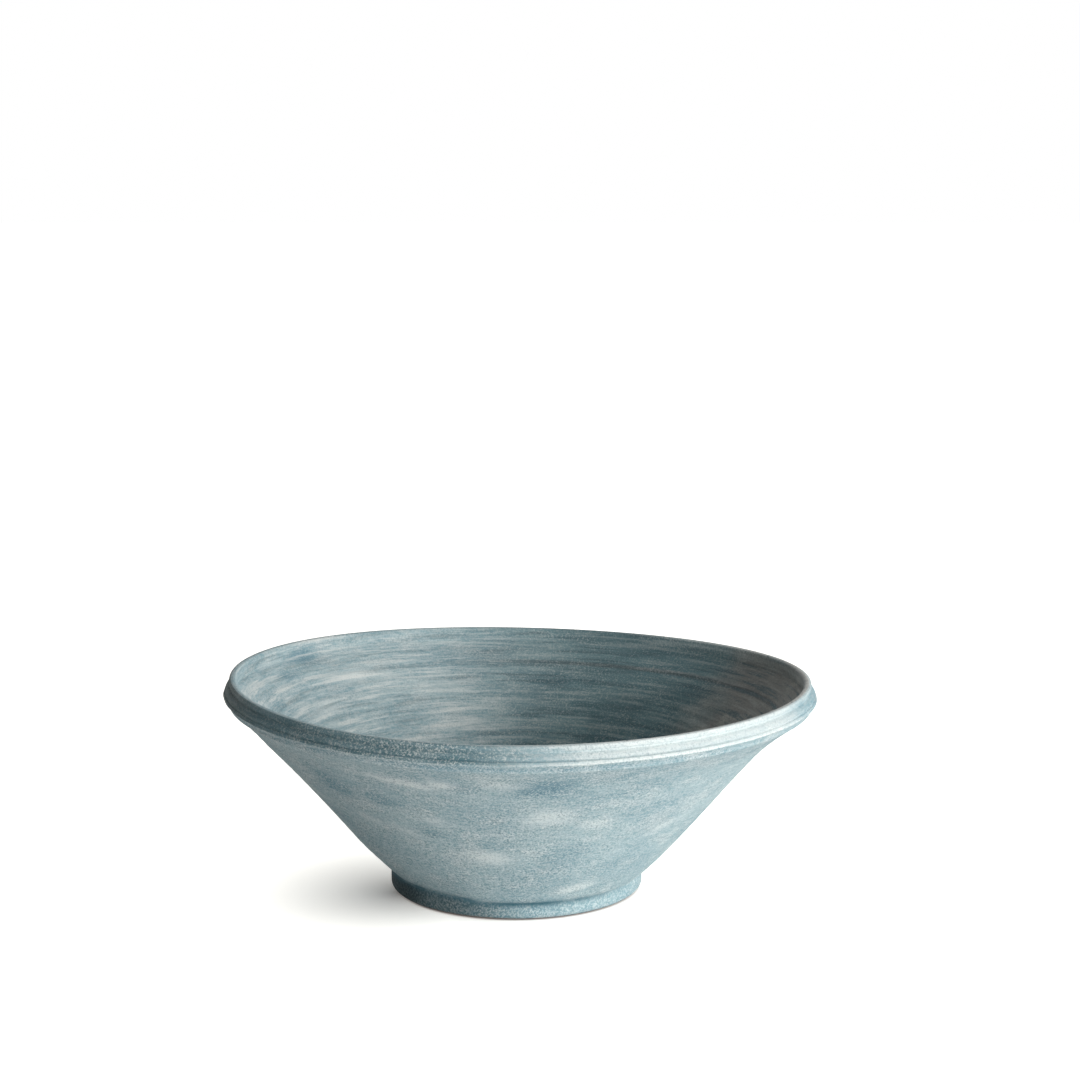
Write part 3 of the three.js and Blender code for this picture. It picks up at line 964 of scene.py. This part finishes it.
def stipple_wear_and_highlight(nodes, colour, raw):
    """Dark and pale specks all over, then the pale bead and lip, partly wear and partly a painted highlight
    on the lit right, with nicks along the lip.
    """
    stipple = nodes.times(nodes.read("stipple"), nodes.fit(raw["haze"], (0.36, 0.62), to=(0.7, 1.2)))
    colour = nodes.lay(colour, DEEP, nodes.times(nodes.fit(raw["specks"], (0.5, 0.36)), 0.6), stipple)
    colour = nodes.lay(colour, CHALK, nodes.times(nodes.fit(raw["specks"], (0.5, 0.64)), 0.72), stipple)
    # Pale bead and lip: wear, and a painted highlight on the lit right
    bead, lip = nodes.times(nodes.read("bead"), 0.75), nodes.times(nodes.read("lip"), 0.75)
    broken = nodes.fit(raw["specks"], (0.35, 0.55), to=(0.4, 1.0))
    colour = nodes.lay(colour, CHALK, nodes.times(nodes.work_out("MAXIMUM", bead, lip), broken), 0.85)
    nick = nodes.fit(nodes.noise(nodes.place(), 190.0, 2.0, 0.5), (0.67, 0.72))
    return nodes.lay(colour, DEEP, nodes.times(nick, nodes.read("lip")), 0.7)


def wash_foot(nodes, colour, raw):
    """The foot: dark specks, painted shade on its left, away from the light, wash sunk in the crease and in
    the rim's line, the crease also darker on the left as painted shade, and raw clay below.
    """
    specks = nodes.times(nodes.read("foot"), nodes.fit(raw["specks"], (0.58, 0.42)))
    colour = nodes.lay(colour, FOOT_SPECK, specks, 0.64)
    shade = nodes.fit(raw["specks"], (0.42, 0.6), to=(1.04, 0.92))
    # Painted shade on the foot's left
    colour = nodes.lay(colour, FOOT_SHADE, nodes.read("foot_shade"), shade)
    # The crease's dark is wash sunk in it and, towards the left, painted shade
    sunk = nodes.work_out("MAXIMUM", nodes.read("crease"), nodes.times(nodes.read("line"), 0.55))
    colour = nodes.lay(colour, DEEP, sunk, nodes.fit(raw["clouds"], (0.3, 0.65), to=(0.6, 1.0)))
    edge = nodes.times(nodes.ragged(nodes.read("raw_edge"), raw["dashes"], 1.6, (0.3, 0.9)), 0.6)
    bare = nodes.work_out("MAXIMUM", edge, nodes.read("under"))
    return nodes.lay(colour, CLAY, bare, nodes.fit(raw["dashes"], (0.3, 0.42), to=(0.75, 1.0)))


def washed_clay(wash_noise):
    """Fired clay with a blue-grey wash, rubbed back to lie deep in the marks and pale on the edges, with
    painted shade on the sides that face away from the light and painted highlights on the lit rim.
    """
    material, nodes, shader = new_material("washed_clay")
    mask, raw = {}, {"specks": nodes.noise(nodes.place(), 550.0, 3.0, 0.76)}
    for name, settings in WASH_NOISES.items():
        outputs = nodes.use(wash_noise, **settings)
        mask[name], raw[name] = outputs["Mask"], outputs["Raw"]
    colour = wash_all_over(nodes, mask, raw)
    colour = wash_inside(nodes, colour, mask, raw)
    colour = wash_band(nodes, colour, raw)
    colour = stipple_wear_and_highlight(nodes, colour, raw)
    nodes.put(shader.inputs["Base Color"], wash_foot(nodes, colour, raw))
    nodes.put(shader.inputs["Roughness"], nodes.fit(raw["specks"], (0.3, 0.7), to=(0.8, 0.95)))
    shader.inputs["Specular IOR Level"].default_value = 0.3
    grain = nodes.work_out("ADD", nodes.times(raw["specks"], 0.6), nodes.times(raw["dashes"], 0.5))
    relief = nodes.work_out("MULTIPLY_ADD", raw["strokes"], 0.8, grain)
    nodes.roughen(shader, relief, 0.7 * MM, strength=0.8)
    return material


def plug_rubber():
    """Dark moulded rubber: a satin skin with a fine mould texture, dusty in places."""
    material, nodes, shader = new_material("plug_rubber")
    place = nodes.place()
    dust = nodes.fit(nodes.noise(place, 90.0, 4.0, 0.6), (0.48, 0.7))
    nodes.put(shader.inputs["Base Color"], nodes.lay(RUBBER, RUBBER_DUST, dust, 0.3))
    nodes.put(shader.inputs["Roughness"], nodes.fit(dust, (0.0, 1.0), to=(0.48, 0.75), smooth=False))
    nodes.roughen(shader, nodes.noise(place, 1400.0, 2.0, 0.5), 0.06 * MM)
    return material


def pad_felt():
    """Pressed felt: fibres of two browns in darker and paler tufts, no shine, with a soft nap."""
    material, nodes, shader = new_material("pad_felt")
    place = nodes.place()
    fibres = nodes.noise(place, 2600.0, 4.0, 0.7, 1.5)
    tufts = nodes.noise(place, 420.0, 3.0, 0.6)
    colour = nodes.mix(nodes.fit(fibres, (0.4, 0.62)), FELT_DARK, FELT_PALE)
    nodes.put(shader.inputs["Base Color"], nodes.lay(colour, FELT_TUFT, nodes.fit(tufts, (0.45, 0.7)), 0.4))
    shader.inputs["Roughness"].default_value = 0.97
    shader.inputs["Sheen Weight"].default_value = 0.25
    nodes.roughen(shader, fibres, 0.15 * MM)
    return material


def seen_directly(nodes):
    """1 for rays that only look: straight from the camera, in reflections or through clear pieces."""
    path = nodes.add("ShaderNodeLightPath")
    mirrored = nodes.work_out("MAXIMUM", path.outputs["Is Glossy Ray"], path.outputs["Is Transmission Ray"])
    return nodes.work_out("MAXIMUM", path.outputs["Is Camera Ray"], mirrored)


def make_floor():
    """A plain white floor that runs into the white background.

    To the camera it glows, fully beyond a round pool at the bowl's shaded side, and less inside the pool,
    where the lamps' shadow of the bowl shows through; the pool's centre, size and least glow paint that
    shadow's shape and depth. The glow also fades towards the foot and ends under it, which paints a line of
    shadow where the foot meets the floor and a faint ring of shadow round the foot.
    """
    corners = FLOOR_HALF * np.array([(-1, -1, 0), (1, -1, 0), (1, 1, 0), (-1, 1, 0)])
    floor = mesh_piece("studio_floor", corners, [[0, 1, 2, 3]], smooth=False)
    material, nodes, shader = new_material("studio_floor")
    shader.inputs["Base Color"].default_value = FLOOR_WHITE
    shader.inputs["Roughness"].default_value = 1.0
    shader.inputs["Specular IOR Level"].default_value = 0.0
    shader.inputs["Emission Color"].default_value = FLOOR_GLOW
    place = nodes.place()
    from_pool = nodes.vector("DISTANCE", place, POOL_CENTRE)["Value"]
    # The pool paints the bowl's shadow: the glow is least at its centre
    pool = nodes.fit(from_pool, (0.0, POOL_RADIUS), to=(POOL_GLOW, 1.0), smooth=False)
    from_axis = nodes.vector("LENGTH", place)["Value"]
    side = FOOT + 1 * MM
    # Less glow near and under the foot paints the contact shadow and a faint ring round it
    under = nodes.fit(from_axis, (FOOT - CONTACT_UNDER, side), to=(0.0, CONTACT_SHARES[0]))
    beyond = nodes.fit(from_axis, (side, FOOT + CONTACT_OUT), to=(0.0, CONTACT_SHARES[1]))
    glow = nodes.work_out("MINIMUM", pool, nodes.work_out("ADD", under, beyond))
    nodes.put(shader.inputs["Emission Strength"], nodes.times(seen_directly(nodes), glow))
    floor.data.materials.append(material)


def make_world():
    """White to the camera and in reflections, and a dim even grey as light."""
    world = bpy.data.worlds.new("studio")
    bpy.context.scene.world = world
    world.use_nodes = True
    nodes = Nodes(world.node_tree)
    background = world.node_tree.nodes["Background"]
    background.inputs["Color"].default_value = rgb(1, 1, 1)
    strength = nodes.fit(seen_directly(nodes), (0.0, 1.0), to=(WORLD, 1.0), smooth=False)
    nodes.put(background.inputs["Strength"], strength)


def make_lamp(name, turn, rise, distance, sides, strength, tint):
    """A rectangular soft light, placed by its direction from the bowl and facing it.

    Its power is the strength times the square of pi times the distance, which makes a white card at the bowl
    that faces it look as bright as the strength says.
    """
    flat, up = math.radians(turn), math.radians(rise)
    way = Vector((math.cos(up) * math.cos(flat), -math.cos(up) * math.sin(flat), math.sin(up)))
    lamp = bpy.data.lights.new(name, "AREA")
    lamp.color = tint
    lamp.shape = "RECTANGLE"
    lamp.size, lamp.size_y = sides
    lamp.energy = strength * (math.pi * distance) ** 2
    holder = bpy.data.objects.new(name, lamp)
    holder.location = Vector((0, 0, LAMP_AIM)) + way * distance
    holder.rotation_euler = way.to_track_quat("Z", "Y").to_euler()
    bpy.context.scene.collection.objects.link(holder)


def make_camera():
    """The photograph's view: level with its horizon, turned down a little, with no shift."""
    data = bpy.data.cameras.new("photograph")
    data.sensor_fit = "HORIZONTAL"
    data.sensor_width = SENSOR
    data.lens = SENSOR * FOCAL_PIXELS / PICTURE
    data.clip_start, data.clip_end = CLIP
    camera = bpy.data.objects.new("photograph", data)
    camera.location = (CAMERA_RIGHT, -CAMERA_BACK, CAMERA_HEIGHT)
    camera.rotation_euler = (math.radians(90 - CAMERA_PITCH), 0, 0)
    bpy.context.scene.collection.objects.link(camera)
    bpy.context.scene.camera = camera


make_camera()
make_world()
make_floor()
for name, lamp in LAMPS.items():
    make_lamp(name, *lamp)

clay = washed_clay(make_wash_noise())
rubber = plug_rubber()
felt = pad_felt()

make_bowl().data.materials.append(clay)
make_plug().data.materials.append(rubber)
for index, node in enumerate(PAD_NODES):
    make_pad(node, index).data.materials.append(felt)

bpy.context.scene.view_settings.view_transform = "Standard"
